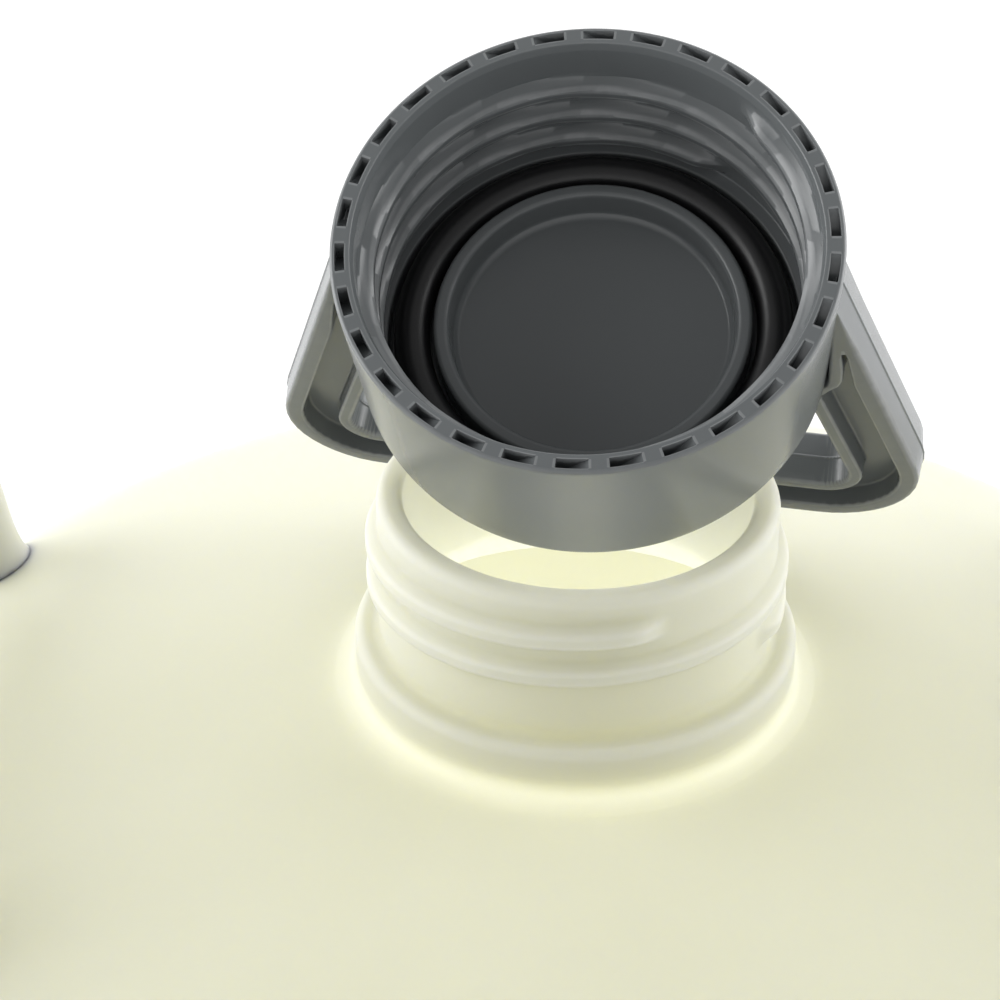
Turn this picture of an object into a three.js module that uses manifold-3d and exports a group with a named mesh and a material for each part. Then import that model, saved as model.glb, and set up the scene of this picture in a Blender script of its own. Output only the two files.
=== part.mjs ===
// Wide-mouthed dispenser bottle for liquid detergent.
// A round blow-moulded bottle with two moulded side grips, a screw cap whose carrying handle is
// part of the same moulding, the cap's O-ring, and a lever tap low on the front wall.
// Millimetres, +Z up, origin at the centre of the base, tap towards -Y.

import * as THREE from 'three';
import { mergeVertices } from 'three/addons/utils/BufferGeometryUtils.js';
import Module from 'manifold-3d';

const wasm = await Module();
wasm.setup();

// ---- driving dimensions ----------------------------------------------------------------

const GAP = 0.3;                  // clearance kept between pieces that touch
const DEG = Math.PI / 180;

// bottle
const BODY_SEGMENTS = 40;
const HOLLOW_SEGMENTS = 32;
const WALL = 2.6;
const BODY_R = 150;
const BODY_EDGE_R = 12;           // rounding at the foot
const FOOT_PAD_R = 40;            // flat pad at the middle of the base
const FOOT_GROOVE_IN_R = 46;
const FOOT_GROOVE_OUT_R = 112;
const FOOT_RING_IN_R = 118;
const FOOT_GROOVE_RISE = 3;
const DOME_R = 430;               // radius of the domed shoulder
const SHOULDER_EDGE_R = 36;       // rounding from the shoulder into the wall
const LIP_Z = 245;
const NECK_H = 37;                // shoulder to lip
const NECK_FOOT_R = 43;           // where the neck's fillet meets the shoulder
const NECK_ROOT_R = 34.6;
const NECK_BORE_R = 30;
const NECK_BORE_END = 27.4;       // depth where the bore starts to open out
const NECK_BORE_ROUND = 5.5;
const NECK_FLARE_R = 41.5;        // where the opening meets the inside of the shoulder
const NECK_FLARE = 39;            // its depth below the lip
const BEAD_R = 39;
const BEAD_TOP = 27;              // depth below the lip
const BEAD_BOTTOM = 33;
const THREAD_PITCH = 7.2;
const THREAD_WIDTH = 4.4;
const THREAD_CREST = 2.4;
const NECK_THREAD_H = 2.0;
const NECK_THREAD_TURNS = 1.9;
const NECK_THREAD_TOP = 5.2;      // depth below the lip
const NECK_THREAD_START = -70;    // degrees

// side grips
const GRIP_R = 134;               // plan radius of the grip's bar
const GRIP_HALF_ANGLE = 27.3;
const GRIP_RISE = 38;             // bar's middle above the shoulder's edge height
const GRIP_SECTION_R = 8.5;

// cap, in its own frame: mouth at z = 0 and facing +Z, closed end below
const CAP_SEGMENTS = 42;
const CAP_R = 42;
const CAP_END_R = 41;
const CAP_H = 35.6;
const CAP_END_FILLET = 3.5;
const CAP_BORE_R = 38.2;
const CAP_MOUTH_R = 38.8;
const CAP_SEAT_R = 35.8;          // bore below the ledge, round the O-ring
const CAP_LEDGE = 28.8;           // depth of the ledge
const CAP_GROOVE = 33;            // depth of the O-ring's groove
const BOSS_OUT_R = 27.6;
const BOSS_IN_R = 25;
const BOSS_TOP = 26.2;
const RECESS_R = 23.9;
const RECESS = 31.8;
const CAP_THREAD_H = 2.6;
const CAP_THREAD_TURNS = 3;
const CAP_THREAD_TOP = 3.2;
const CAP_THREAD_START = 56.5;
const POCKETS = 30;
const POCKET_START = 11.1;        // degrees, from the handle's plane
const POCKET_MID_R = 40.35;
const POCKET_RADIAL = 1.6;
const POCKET_LENGTH = 5;
const POCKET_DEPTH = 4.5;         // at the clockwise end; the floor climbs to the other end
const POCKET_SHALLOW = 0.3;

// handle of the cap, in the plane y = 0 of the cap's frame
const HANDLE_REACH = 84.4;         // mouth to the outer edge of the bar
const HANDLE_TOP = 3;             // depth where the legs grow out of the skirt
const LEG_X = 40.1;               // outer face of a leg, carried on to the mouth's plane
const LEG_SLOPE = 0.317;          // widening per millimetre of depth
const HANDLE_CORNER_R = 18;
const HANDLE_HEIGHT = 13.6;       // of the section, in the handle's plane
const HANDLE_BREADTH = 10.9;
const HANDLE_DRAFT = 0.5;         // the outer face falls away from its middle line to both sides
const OUTER_FLANGE = 4;
const INNER_FLANGE = 2.9;
const HANDLE_WEB = 2.6;
const CHANNEL_TOP = 20;           // depth where the channels end on the legs

// O-ring
const O_RING_MEAN_R = 31.55;
const O_RING_SECTION_R = 3.15;

// where the loose cap leans: its handle stands behind the neck and its closed end dips into the mouth
const CAP_YAW = -7.8;
const CAP_LEAN = 33.56;
const CAP_TURN = -2.55;           // about the cap's own axis
const CAP_BACK = 4.5;
const CAP_UP = 44.5;              // mouth centre above the bottle's lip

// tap
const TAP_Z = 40;
const PAD_R = 25;                 // flat pad on the wall
const PAD_Y = -153;
const PAD_WALL = 4;
const SHANK_R = 11.5;
const SHANK_BORE_R = 7.5;
const SHANK_END_Y = -132;
const WALL_HOLE_R = 12;
const FLANGE_R = 19;
const FLANGE_T = 3;
const GASKET_T = 1.7;
const NUT_FLATS = 36;
const NUT_T = 8;
const BARREL_R = 10.5;
const CHAMBER_Y = -183;
const CHAMBER_R = 13.5;
const CHAMBER_BORE_R = 10;
const CHAMBER_FLOOR = -8;         // heights in the tap are from its horizontal axis
const CHAMBER_TOP = 21;
const CHAMBER_NECK = 11;
const CHAMBER_NECK_R = 12;
const SPOUT_TOP_R = 10.5;
const SPOUT_END_R = 8.6;
const SPOUT_BORE_R = 6;
const SPOUT_END = -28;
const BONNET_R = 14.6;
const BONNET_RIBS = 20;
const BONNET_TOP = 25;
const STEM_R = 3;
const STEM_BOTTOM = -5;
const COLLAR_R = 6.5;
const COLLAR_BOTTOM = 0;
const COLLAR_T = 2;
const CUP_R = 8.4;
const CUP_H = 6.4;
const SPRING_R = 5;
const SPRING_WIRE_R = 0.5;
const SPRING_TURNS = 6;
const CAM_LOW = 7;                // lever's cam: distance from pin to bonnet, closed
const STEM_TRAVEL = 4;
const LEVER_SWING = 70;           // degrees
const DWELL_START = 100;          // direction where the cam's outline is a plain arc again
const FALL_START = 120;           // and where it falls back to its low radius
const EYE_R = 4.5;
const EYE_T = 6;
const PIN_R = 1.5;
const PIN_HOLE_R = 1.75;
const CHEEK_OUT = 7;
const CHEEK_IN = 3.4;
const LEVER_LENGTH = 40;

// ---- solids ------------------------------------------------------------------------------

/** Turn a closed three.js geometry into a manifold solid with its faces outwards. */
function toSolid(geometry) {
  const bare = geometry.clone();
  bare.deleteAttribute('normal');
  bare.deleteAttribute('uv');
  const welded = mergeVertices(bare, 1e-4);
  const index = welded.index.array;
  const triangles = [];
  for (let i = 0; i < index.length; i += 3) {
    const [a, b, c] = [index[i], index[i + 1], index[i + 2]];
    if (a !== b && b !== c && c !== a) triangles.push(a, b, c);
  }
  const build = (list) => new wasm.Manifold(new wasm.Mesh({
    numProp: 3,
    vertProperties: new Float32Array(welded.attributes.position.array),
    triVerts: new Uint32Array(list),
  }));
  const solid = build(triangles);
  if (solid.volume() > 0) return solid;
  const turned = [];
  for (let i = 0; i < triangles.length; i += 3) turned.push(triangles[i], triangles[i + 2], triangles[i + 1]);
  return build(turned);
}

/** Turn a manifold solid back into a three.js geometry. */
function toGeometry(solid) {
  const mesh = solid.getMesh();
  const geometry = new THREE.BufferGeometry();
  const points = new Float32Array(mesh.numVert * 3);
  for (let i = 0; i < mesh.numVert; i++) {
    for (let k = 0; k < 3; k++) points[3 * i + k] = mesh.vertProperties[i * mesh.numProp + k];
  }
  geometry.setAttribute('position', new THREE.BufferAttribute(points, 3));
  geometry.setIndex(new THREE.BufferAttribute(new Uint32Array(mesh.triVerts), 1));
  geometry.computeVertexNormals();
  return geometry;
}

/** A body turned about Z from a closed [radius, height] outline. */
function turned(outline, segments) {
  const points = outline.map(([r, z]) => new THREE.Vector2(Math.max(r, 0), z));
  const geometry = new THREE.LatheGeometry(points, segments);
  geometry.rotateX(Math.PI / 2);
  return toSolid(geometry);
}

/** An outline closed back to its first point, for a ring that doesn't reach the axis. */
const closed = (outline) => [...outline, outline[0]];

/** A disc or cylinder about Z, from z0 to z1. */
const rod = (radius, z0, z1, segments = 32) =>
  turned([[0, z0], [radius, z0], [radius, z1], [0, z1]], segments);

/** A ring about Z. */
const ring = (inner, outer, z0, z1, segments = 32) =>
  turned(closed([[inner, z0], [outer, z0], [outer, z1], [inner, z1]]), segments);

/** Points of an arc in a plane, angles in degrees. */
function arc(cx, cy, radius, from, to, steps) {
  const points = [];
  for (let i = 0; i <= steps; i++) {
    const a = (from + (to - from) * i / steps) * DEG;
    points.push([cx + radius * Math.cos(a), cy + radius * Math.sin(a)]);
  }
  return points;
}

const shapeOf = (points) => new THREE.Shape(points.map(([x, y]) => new THREE.Vector2(x, y)));

/** A flat outline in (x, y), thickened from z0 to z1. */
function slab(points, z0, z1) {
  const geometry = new THREE.ExtrudeGeometry(shapeOf(points), { depth: z1 - z0, bevelEnabled: false });
  geometry.translate(0, 0, z0);
  return toSolid(geometry);
}

function box(x0, x1, y0, y1, z0, z1) {
  const geometry = new THREE.BoxGeometry(x1 - x0, y1 - y0, z1 - z0);
  geometry.translate((x0 + x1) / 2, (y0 + y1) / 2, (z0 + z1) / 2);
  return toSolid(geometry);
}

/** An outline drawn in (y, z), thickened across X from x0 to x1. */
function slabAcrossX(points, x0, x1) {
  const geometry = new THREE.ExtrudeGeometry(shapeOf(points), { depth: x1 - x0, bevelEnabled: false });
  geometry.applyMatrix4(new THREE.Matrix4().makeBasis(
    new THREE.Vector3(0, 1, 0), new THREE.Vector3(0, 0, 1), new THREE.Vector3(1, 0, 0)));
  geometry.translate(x0, 0, 0);
  return toSolid(geometry);
}

const rotated = (solid, x, y, z) => solid.rotate([x, y, z]);
const moved = (solid, x, y, z) => solid.translate([x, y, z]);

/** Lay a body turned about Z along Y: its +Z end points to -Y. */
const alongY = (solid) => rotated(solid, 90, 0, 0);

/**
 * A helical ridge of right-handed pitch that starts at the top and winds down.
 * The section is a trapezoid; its height fades over the first and last part of the run.
 */
function helicalRidge({ rootR, height, pitch, turns, topZ, startDeg, sink, stepsPerTurn }) {
  const section = shapeOf([
    [-sink, -THREAD_WIDTH / 2], [0, -THREAD_WIDTH / 2], [1, -THREAD_CREST / 2],
    [1, THREAD_CREST / 2], [0, THREAD_WIDTH / 2], [-sink, THREAD_WIDTH / 2],
  ]);
  const steps = Math.round(turns * stepsPerTurn);
  const geometry = new THREE.ExtrudeGeometry(section, { depth: 1, steps, bevelEnabled: false });
  const position = geometry.attributes.position;
  const fade = 0.045;
  for (let i = 0; i < position.count; i++) {
    const run = position.getZ(i);
    const rise = Math.min(1, 0.12 + run / fade, 0.12 + (1 - run) / fade);
    const u = position.getX(i);
    const offset = u > 0 ? u * height * rise : u * Math.sign(height);
    const radius = rootR + offset;
    const angle = startDeg * DEG - run * turns * 2 * Math.PI;
    position.setXYZ(i, radius * Math.cos(angle), radius * Math.sin(angle),
      topZ - run * turns * pitch + position.getY(i));
  }
  return toSolid(geometry);
}

// ---- bottle ------------------------------------------------------------------------------

const domeTop = LIP_Z - NECK_H;
const domeHeight = (r) => domeTop - (DOME_R - Math.sqrt(DOME_R ** 2 - r ** 2))
  + (DOME_R - Math.sqrt(DOME_R ** 2 - NECK_FOOT_R ** 2));
const edgeCentreR = BODY_R - SHOULDER_EDGE_R;
// slope of the dome where the edge's rounding takes over: the two circles share a normal
const edgeSlope = Math.asin(edgeCentreR / (DOME_R - SHOULDER_EDGE_R));
const edgeCentreZ = domeHeight(DOME_R * Math.sin(edgeSlope)) - SHOULDER_EDGE_R * Math.cos(edgeSlope);

/** Outline of the bottle's shoulder and wall, from the neck's foot down, set in by a wall. */
function shoulderAndWall(inset) {
  const outline = [];
  const domeSteps = 4;
  const endR = (DOME_R - inset) * Math.sin(edgeSlope);
  for (let i = 0; i < domeSteps; i++) {
    const r = NECK_FOOT_R + (endR - NECK_FOOT_R) * i / domeSteps;
    outline.push([r, domeHeight(r) - inset / Math.cos(Math.asin(r / DOME_R))]);
  }
  const edge = arc(edgeCentreR, edgeCentreZ, SHOULDER_EDGE_R - inset, 90 - edgeSlope / DEG, 0, 5);
  return [...outline, ...edge];
}

const footRound = (inset) => arc(BODY_R - BODY_EDGE_R, BODY_EDGE_R, BODY_EDGE_R - inset, 0, -90, 3);

function bottleBody() {
  const outer = turned([
    [0, LIP_Z],
    ...arc(NECK_ROOT_R - 1.6, LIP_Z - 1.6, 1.6, 90, 0, 3),
    [NECK_ROOT_R, LIP_Z - BEAD_TOP + 0.8],
    ...arc(BEAD_R - 1.5, LIP_Z - BEAD_TOP - 1.5, 1.5, 90, 0, 2),
    ...arc(BEAD_R - 1.5, LIP_Z - BEAD_BOTTOM + 1.5, 1.5, 0, -60, 2),
    [BEAD_R - 0.2, LIP_Z - NECK_H + 1.7],
    ...shoulderAndWall(0),
    ...footRound(0),
    [FOOT_RING_IN_R, 0],
    [FOOT_GROOVE_OUT_R, FOOT_GROOVE_RISE],
    [FOOT_GROOVE_IN_R, FOOT_GROOVE_RISE],
    [FOOT_PAD_R, 0],
    [0, 0],
  ], BODY_SEGMENTS);
  const hollow = turned([
    [0, LIP_Z + 5],
    [NECK_BORE_R, LIP_Z + 5],
    ...arc(NECK_BORE_R + NECK_BORE_ROUND, LIP_Z - NECK_BORE_END, NECK_BORE_ROUND, 180, 237, 3),
    [NECK_FLARE_R, LIP_Z - NECK_FLARE],
    ...shoulderAndWall(WALL).slice(1),
    ...footRound(WALL),
    [FOOT_RING_IN_R, WALL],
    [FOOT_GROOVE_OUT_R, FOOT_GROOVE_RISE + WALL],
    [0, FOOT_GROOVE_RISE + WALL],
  ], HOLLOW_SEGMENTS);
  const thread = moved(helicalRidge({
    rootR: NECK_ROOT_R, height: NECK_THREAD_H, pitch: THREAD_PITCH, turns: NECK_THREAD_TURNS,
    topZ: -NECK_THREAD_TOP, startDeg: NECK_THREAD_START, sink: 1, stepsPerTurn: 24,
  }), 0, 0, LIP_Z);

  // flat pad for the tap: a short drum on the wall, hollowed from inside to an even thickness
  const pad = moved(alongY(rod(PAD_R, 0, 30, 32)), 0, PAD_Y + 30, TAP_Z);
  const padHollow = moved(alongY(rod(PAD_R - WALL, 0, 40, 28)), 0, PAD_Y + PAD_WALL + 40, TAP_Z);
  const hole = moved(alongY(rod(WALL_HOLE_R, 0, 40, 28)), 0, PAD_Y + 30, TAP_Z);

  let body = outer.add(pad).subtract(hollow).subtract(padHollow).subtract(hole).add(thread);
  for (const side of [0, 180]) body = body.add(rotated(sideGrip(), 0, 0, side).subtract(hollow));
  return body;
}

/** One moulded side grip: a bar that rises from the shoulder, runs round it and goes back down. */
function sideGrip() {
  const footZ = domeHeight(GRIP_R) - 16;
  const barZ = domeHeight(GRIP_R) - 6 + GRIP_RISE;
  const path = new THREE.CatmullRomCurve3([
    [1, footZ], [0.97, footZ + 14], [0.9, barZ - 9], [0.76, barZ - 1], [0.4, barZ], [0, barZ],
    [-0.4, barZ], [-0.76, barZ - 1], [-0.9, barZ - 9], [-0.97, footZ + 14], [-1, footZ],
  ].map(([share, z]) => {
    const angle = share * GRIP_HALF_ANGLE * DEG;
    return new THREE.Vector3(GRIP_R * Math.cos(angle), GRIP_R * Math.sin(angle), z);
  }));
  const section = shapeOf(arc(0, 0, GRIP_SECTION_R, 0, 315, 7));
  return toSolid(new THREE.ExtrudeGeometry(section, { steps: 20, bevelEnabled: false, extrudePath: path }));
}

// ---- cap and its handle --------------------------------------------------------------------

/** The handle's outline at a distance inside its outer edge, as one U from top to top. */
function handleLine(inset, top = HANDLE_TOP) {
  const corner = Math.max(HANDLE_CORNER_R - inset, 2.5);
  const lean = Math.atan(LEG_SLOPE);
  const bottom = -HANDLE_REACH + inset;
  const legX = (z) => LEG_X - LEG_SLOPE * z - inset / Math.cos(lean);
  // the arc touches the leg and the bar: its centre is a corner radius from both
  const centreZ = bottom + corner;
  const centreX = legX(centreZ) - corner / Math.cos(lean);
  const right = [[legX(-top), -top], ...arc(centreX, centreZ, corner, lean / DEG, -90, 7)];
  const left = right.map(([x, z]) => [-x, z]).reverse();
  return [...right, ...left];
}

/** The handle's full loop: widest along its middle line, set in by the draft at both edges. */
function handleLoop() {
  const middle = handleLine(0);
  const edge = handleLine(HANDLE_DRAFT);
  const half = HANDLE_BREADTH / 2;
  const geometry = new THREE.ExtrudeGeometry(shapeOf(middle),
    { depth: HANDLE_BREADTH, steps: 2, bevelEnabled: false });
  const position = geometry.attributes.position;
  for (let i = 0; i < position.count; i++) {
    const across = half - position.getZ(i);
    const near = middle.findIndex(([x, z]) => Math.hypot(x - position.getX(i), z - position.getY(i)) < 0.01);
    const [x, z] = (Math.abs(across) > half / 2 ? edge : middle)[near];
    position.setXYZ(i, x, across, z);
  }
  return toSolid(geometry);
}

/** A loop outline in the handle's plane, thickened across it from y0 to y1. */
function handleSlab(points, y0, y1) {
  // the outline's second coordinate is the height; standing it up turns its depth to -y
  return rotated(slab(points, -y1, -y0), 90, 0, 0);
}

function screwCap() {
  const shell = turned([
    [0, -CAP_H],
    ...arc(CAP_END_R - CAP_END_FILLET, -CAP_H + CAP_END_FILLET, CAP_END_FILLET, -90, 0, 4),
    ...arc(CAP_R - 0.8, -0.8, 0.8, 0, 90, 2),
    [CAP_MOUTH_R, 0],
    [CAP_BORE_R, -1.4],
    [CAP_BORE_R, -CAP_LEDGE],
    [CAP_SEAT_R, -CAP_LEDGE - 0.6],
    [CAP_SEAT_R, -CAP_GROOVE],
    [BOSS_OUT_R, -CAP_GROOVE],
    [BOSS_OUT_R, -BOSS_TOP - 0.4],
    [BOSS_OUT_R - 0.4, -BOSS_TOP],
    [BOSS_IN_R, -BOSS_TOP],
    [BOSS_IN_R - 0.5, -RECESS + 1.2],
    [RECESS_R, -RECESS],
    [0, -RECESS],
  ], CAP_SEGMENTS);
  const thread = helicalRidge({
    rootR: CAP_BORE_R, height: -CAP_THREAD_H, pitch: THREAD_PITCH, turns: CAP_THREAD_TURNS,
    topZ: -CAP_THREAD_TOP, startDeg: CAP_THREAD_START, sink: 1, stepsPerTurn: 24,
  });

  const bore = rod(CAP_BORE_R + 1, -CAP_GROOVE, 10, CAP_SEGMENTS);
  const skirt = rod(CAP_R + 0.1, -CAP_H - 0.1, 10, CAP_SEGMENTS);
  const grasp = handleSlab(handleLine(HANDLE_HEIGHT, CAP_H - 1), -HANDLE_BREADTH, HANDLE_BREADTH);
  let handle = handleLoop().subtract(bore).subtract(grasp.subtract(rod(CAP_END_R, -CAP_H, 0, CAP_SEGMENTS)));

  // channels on both faces leave two flanges and a thin web
  const channelOuter = handleLine(OUTER_FLANGE);
  const channelInner = handleLine(HANDLE_HEIGHT - INNER_FLANGE);
  for (const side of [-1, 1]) {
    const [y0, y1] = side > 0 ? [HANDLE_WEB / 2, HANDLE_BREADTH] : [-HANDLE_BREADTH, -HANDLE_WEB / 2];
    const channel = handleSlab(channelOuter, y0, y1)
      .subtract(handleSlab(channelInner, y0 - 1, y1 + 1))
      .subtract(skirt)
      .subtract(box(-CAP_R * 2, CAP_R * 2, -20, 20, -CHANNEL_TOP, 5));
    handle = handle.subtract(channel);
  }

  let cap = shell.add(thread).add(handle);
  const pocket = slabAcrossX([
    [-POCKET_LENGTH / 2, 1], [-POCKET_LENGTH / 2, -POCKET_DEPTH],
    [POCKET_LENGTH / 2, -POCKET_SHALLOW], [POCKET_LENGTH / 2, 1],
  ], POCKET_MID_R - POCKET_RADIAL / 2, POCKET_MID_R + POCKET_RADIAL / 2);
  for (let i = 0; i < POCKETS; i++) {
    cap = cap.subtract(rotated(pocket, 0, 0, POCKET_START + i * 360 / POCKETS));
  }
  return cap;
}

const oRing = () => moved(turned(arc(O_RING_MEAN_R, 0, O_RING_SECTION_R, 0, 360, 8), 36),
  0, 0, -CAP_GROOVE + O_RING_SECTION_R + GAP);

// ---- tap, in a frame with its horizontal axis along Y at z = 0 ---------------------------------

/** A drum with its axis along Y, between two values of y. */
const drum = (radius, y0, y1, segments = 32) => moved(alongY(rod(radius, 0, y1 - y0, segments)), 0, y1, 0);
const standing = (solid) => moved(solid, 0, CHAMBER_Y, 0);

const flangeBackY = PAD_Y - 2 * GAP - GASKET_T;
const innerFaceY = PAD_Y + PAD_WALL;

function tapBody() {
  const outside = drum(SHANK_R, flangeBackY - 1, SHANK_END_Y)
    .add(drum(FLANGE_R, flangeBackY - FLANGE_T, flangeBackY, 40))
    .add(drum(BARREL_R, CHAMBER_Y, flangeBackY - 1))
    .add(standing(turned([
      [0, SPOUT_END], [SPOUT_END_R, SPOUT_END], [SPOUT_TOP_R, CHAMBER_FLOOR - 8],
      [CHAMBER_R, CHAMBER_FLOOR - 3], [CHAMBER_R, CHAMBER_NECK], [CHAMBER_NECK_R, CHAMBER_NECK],
      [CHAMBER_NECK_R, CHAMBER_TOP], [0, CHAMBER_TOP],
    ], 32)));
  const inside = drum(SHANK_BORE_R, CHAMBER_Y, SHANK_END_Y + 1)
    .add(standing(turned([
      [0, SPOUT_END - 1], [SPOUT_BORE_R, SPOUT_END - 1], [SPOUT_BORE_R, CHAMBER_FLOOR],
      [CHAMBER_BORE_R, CHAMBER_FLOOR], [CHAMBER_BORE_R, CHAMBER_TOP + 1], [0, CHAMBER_TOP + 1],
    ], 32)));
  return outside.subtract(inside);
}

/** Ribbed cap that screws over the chamber's neck and guides the stem. */
function tapBonnet() {
  const rim = [];
  for (let i = 0; i < BONNET_RIBS * 4; i++) {
    const a = i * 2 * Math.PI / (BONNET_RIBS * 4);
    const r = i % 4 < 2 ? BONNET_R : BONNET_R - 0.8;
    rim.push([r * Math.cos(a), r * Math.sin(a)]);
  }
  const shell = slab(rim, CHAMBER_NECK + GAP, BONNET_TOP - 2)
    .add(rod(BONNET_R - 1.6, BONNET_TOP - 2, BONNET_TOP));
  return standing(shell
    .subtract(rod(CHAMBER_NECK_R + GAP, CHAMBER_NECK - 1, CHAMBER_TOP + GAP))
    .subtract(rod(STEM_R + 0.4, CHAMBER_TOP - 1, BONNET_TOP + 1, 24)));
}

const pinHeight = BONNET_TOP + GAP + CAM_LOW;
const acrossX = (radius, x0, x1, segments) =>
  moved(rotated(rod(radius, 0, x1 - x0, segments), 0, 90, 0), x0, 0, 0);

function tapStem() {
  const eye = acrossX(EYE_R, -EYE_T / 2, EYE_T / 2, 24);
  const hole = acrossX(PIN_HOLE_R, -EYE_T, EYE_T, 16);
  return standing(rod(STEM_R, STEM_BOTTOM, pinHeight - EYE_R + 1.5, 20)
    .add(rod(COLLAR_R, COLLAR_BOTTOM, COLLAR_BOTTOM + COLLAR_T, 28))
    .add(moved(eye, 0, 0, pinHeight))
    .subtract(moved(hole, 0, 0, pinHeight)));
}

/** Rubber cup that closes the spout's bore. */
const tapSeatCup = () => standing(turned([
  [0, CHAMBER_FLOOR + GAP], [CUP_R, CHAMBER_FLOOR + GAP], [CUP_R, CHAMBER_FLOOR + GAP + 2.4],
  [STEM_R + 2.2, CHAMBER_FLOOR + CUP_H], [STEM_R + GAP, CHAMBER_FLOOR + CUP_H],
  [STEM_R + GAP, STEM_BOTTOM - GAP], [0, STEM_BOTTOM - GAP],
], 28));

function tapSpring() {
  const bottom = COLLAR_BOTTOM + COLLAR_T + SPRING_WIRE_R + GAP;
  const top = CHAMBER_TOP - SPRING_WIRE_R;
  class Coil extends THREE.Curve {
    getPoint(t, target = new THREE.Vector3()) {
      const a = t * SPRING_TURNS * 2 * Math.PI;
      return target.set(SPRING_R * Math.cos(a), SPRING_R * Math.sin(a), bottom + t * (top - bottom));
    }
  }
  const wire = shapeOf(arc(0, 0, SPRING_WIRE_R, 0, 300, 5));
  return standing(toSolid(new THREE.ExtrudeGeometry(wire,
    { steps: SPRING_TURNS * 10, bevelEnabled: false, extrudePath: new Coil() })));
}

/**
 * Lever: two cheeks that are cams, joined by a paddle. The cam's distance to the bonnet grows in
 * proportion to the swing, so its outline is drawn from that distance h and its rate of change.
 */
function tapLever() {
  const rate = STEM_TRAVEL / (LEVER_SWING * DEG);
  const outline = [];
  for (let deg = -180; deg < 180; deg += 10) {
    // the climbing flank already covers the first part of the dwell, so its points are left out
    if (deg > LEVER_SWING && deg < DWELL_START) continue;
    const swing = deg * DEG;
    const climbing = deg >= 0 && deg <= LEVER_SWING;
    const falling = deg > FALL_START;
    const h = CAM_LOW + (deg < 0 ? 0 : climbing ? rate * swing
      : falling ? STEM_TRAVEL * (180 - deg) / (180 - FALL_START) : STEM_TRAVEL);
    const dh = climbing ? rate : 0;
    // u points at the bonnet when the lever has swung by this angle; v is its derivative
    const [uy, uz] = [-Math.sin(swing), -Math.cos(swing)];
    const [vy, vz] = [-Math.cos(swing), Math.sin(swing)];
    outline.push([h * uy + dh * vy, h * uz + dh * vz]);
  }
  const cams = slabAcrossX(outline, -CHEEK_OUT, CHEEK_OUT);
  const paddle = slabAcrossX([
    [5.5, 2], [6.5, 12], [4.2, 24], [4, LEVER_LENGTH - 2], [2, LEVER_LENGTH], [0.4, LEVER_LENGTH - 1],
    [0, 24], [-2, 14], [-5.5, 7],
  ], -CHEEK_OUT, CHEEK_OUT);
  const slot = box(-CHEEK_IN, CHEEK_IN, -20, 20, -20, EYE_R + 0.8);
  const hole = acrossX(PIN_HOLE_R, -20, 20, 16);
  return standing(moved(cams.add(paddle).subtract(slot).subtract(hole), 0, 0, pinHeight));
}

const tapLeverPin = () => standing(moved(
  acrossX(PIN_R, -CHEEK_OUT - 1, CHEEK_OUT + 1, 12)
    .add(acrossX(PIN_R + 1, -CHEEK_OUT - GAP - 1.2, -CHEEK_OUT - GAP, 16))
    .add(acrossX(PIN_R + 1, CHEEK_OUT + GAP, CHEEK_OUT + GAP + 1.2, 16)), 0, 0, pinHeight));

const gasket = (outerR, frontY) =>
  moved(alongY(ring(SHANK_R + GAP, outerR, 0, GASKET_T)), 0, frontY + GASKET_T, 0);
const tapGasketOuter = () => gasket(FLANGE_R - 1, PAD_Y - GAP - GASKET_T);
const tapGasketInner = () => gasket(FLANGE_R - 1, innerFaceY + GAP);

function tapNut() {
  const startY = innerFaceY + 2 * GAP + GASKET_T;
  const hexagon = arc(0, 0, NUT_FLATS / 2 / Math.cos(30 * DEG), 0, 300, 5);
  const nut = slab(hexagon, 0, NUT_T).subtract(rod(SHANK_R + GAP, -1, NUT_T + 1));
  return moved(alongY(nut), 0, startY + NUT_T, 0);
}

// ---- scene graph -----------------------------------------------------------------------------

const bottlePlastic = { color: 0xeff0e2, roughness: 0.42, metalness: 0 };
const capPlastic = { color: 0x585d61, roughness: 0.38, metalness: 0 };
const tapPlastic = { color: 0x4e5357, roughness: 0.4, metalness: 0 };
const rubber = { color: 0x151617, roughness: 0.55, metalness: 0 };
const steel = { color: 0xb9bcbf, roughness: 0.3, metalness: 1 };

function piece(name, solid, finish) {
  const mesh = new THREE.Mesh(toGeometry(solid), new THREE.MeshStandardMaterial(finish));
  mesh.name = name;
  return mesh;
}

const bottle = new THREE.Group();

bottle.add(piece('bottle_body', bottleBody(), bottlePlastic));

const leaningCap = new THREE.Group();
leaningCap.rotation.x = CAP_LEAN * DEG;
leaningCap.position.set(0, CAP_BACK, CAP_UP);
const turnedCap = new THREE.Group();
turnedCap.rotation.z = CAP_TURN * DEG;
turnedCap.add(piece('screw_cap', screwCap(), capPlastic));
turnedCap.add(piece('cap_o_ring', oRing(), rubber));
leaningCap.add(turnedCap);
const capPlace = new THREE.Group();
capPlace.rotation.z = CAP_YAW * DEG;
capPlace.position.z = LIP_Z;
capPlace.add(leaningCap);
bottle.add(capPlace);

const tap = new THREE.Group();
tap.position.z = TAP_Z;
tap.add(piece('tap_body', tapBody(), tapPlastic));
tap.add(piece('tap_bonnet', tapBonnet(), tapPlastic));
tap.add(piece('tap_stem', tapStem(), tapPlastic));
tap.add(piece('tap_seat_cup', tapSeatCup(), rubber));
tap.add(piece('tap_spring', tapSpring(), steel));
tap.add(piece('tap_lever', tapLever(), capPlastic));
tap.add(piece('tap_lever_pin', tapLeverPin(), steel));
tap.add(piece('tap_gasket_outer', tapGasketOuter(), rubber));
tap.add(piece('tap_gasket_inner', tapGasketInner(), rubber));
tap.add(piece('tap_nut', tapNut(), tapPlastic));
bottle.add(tap);

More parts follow.
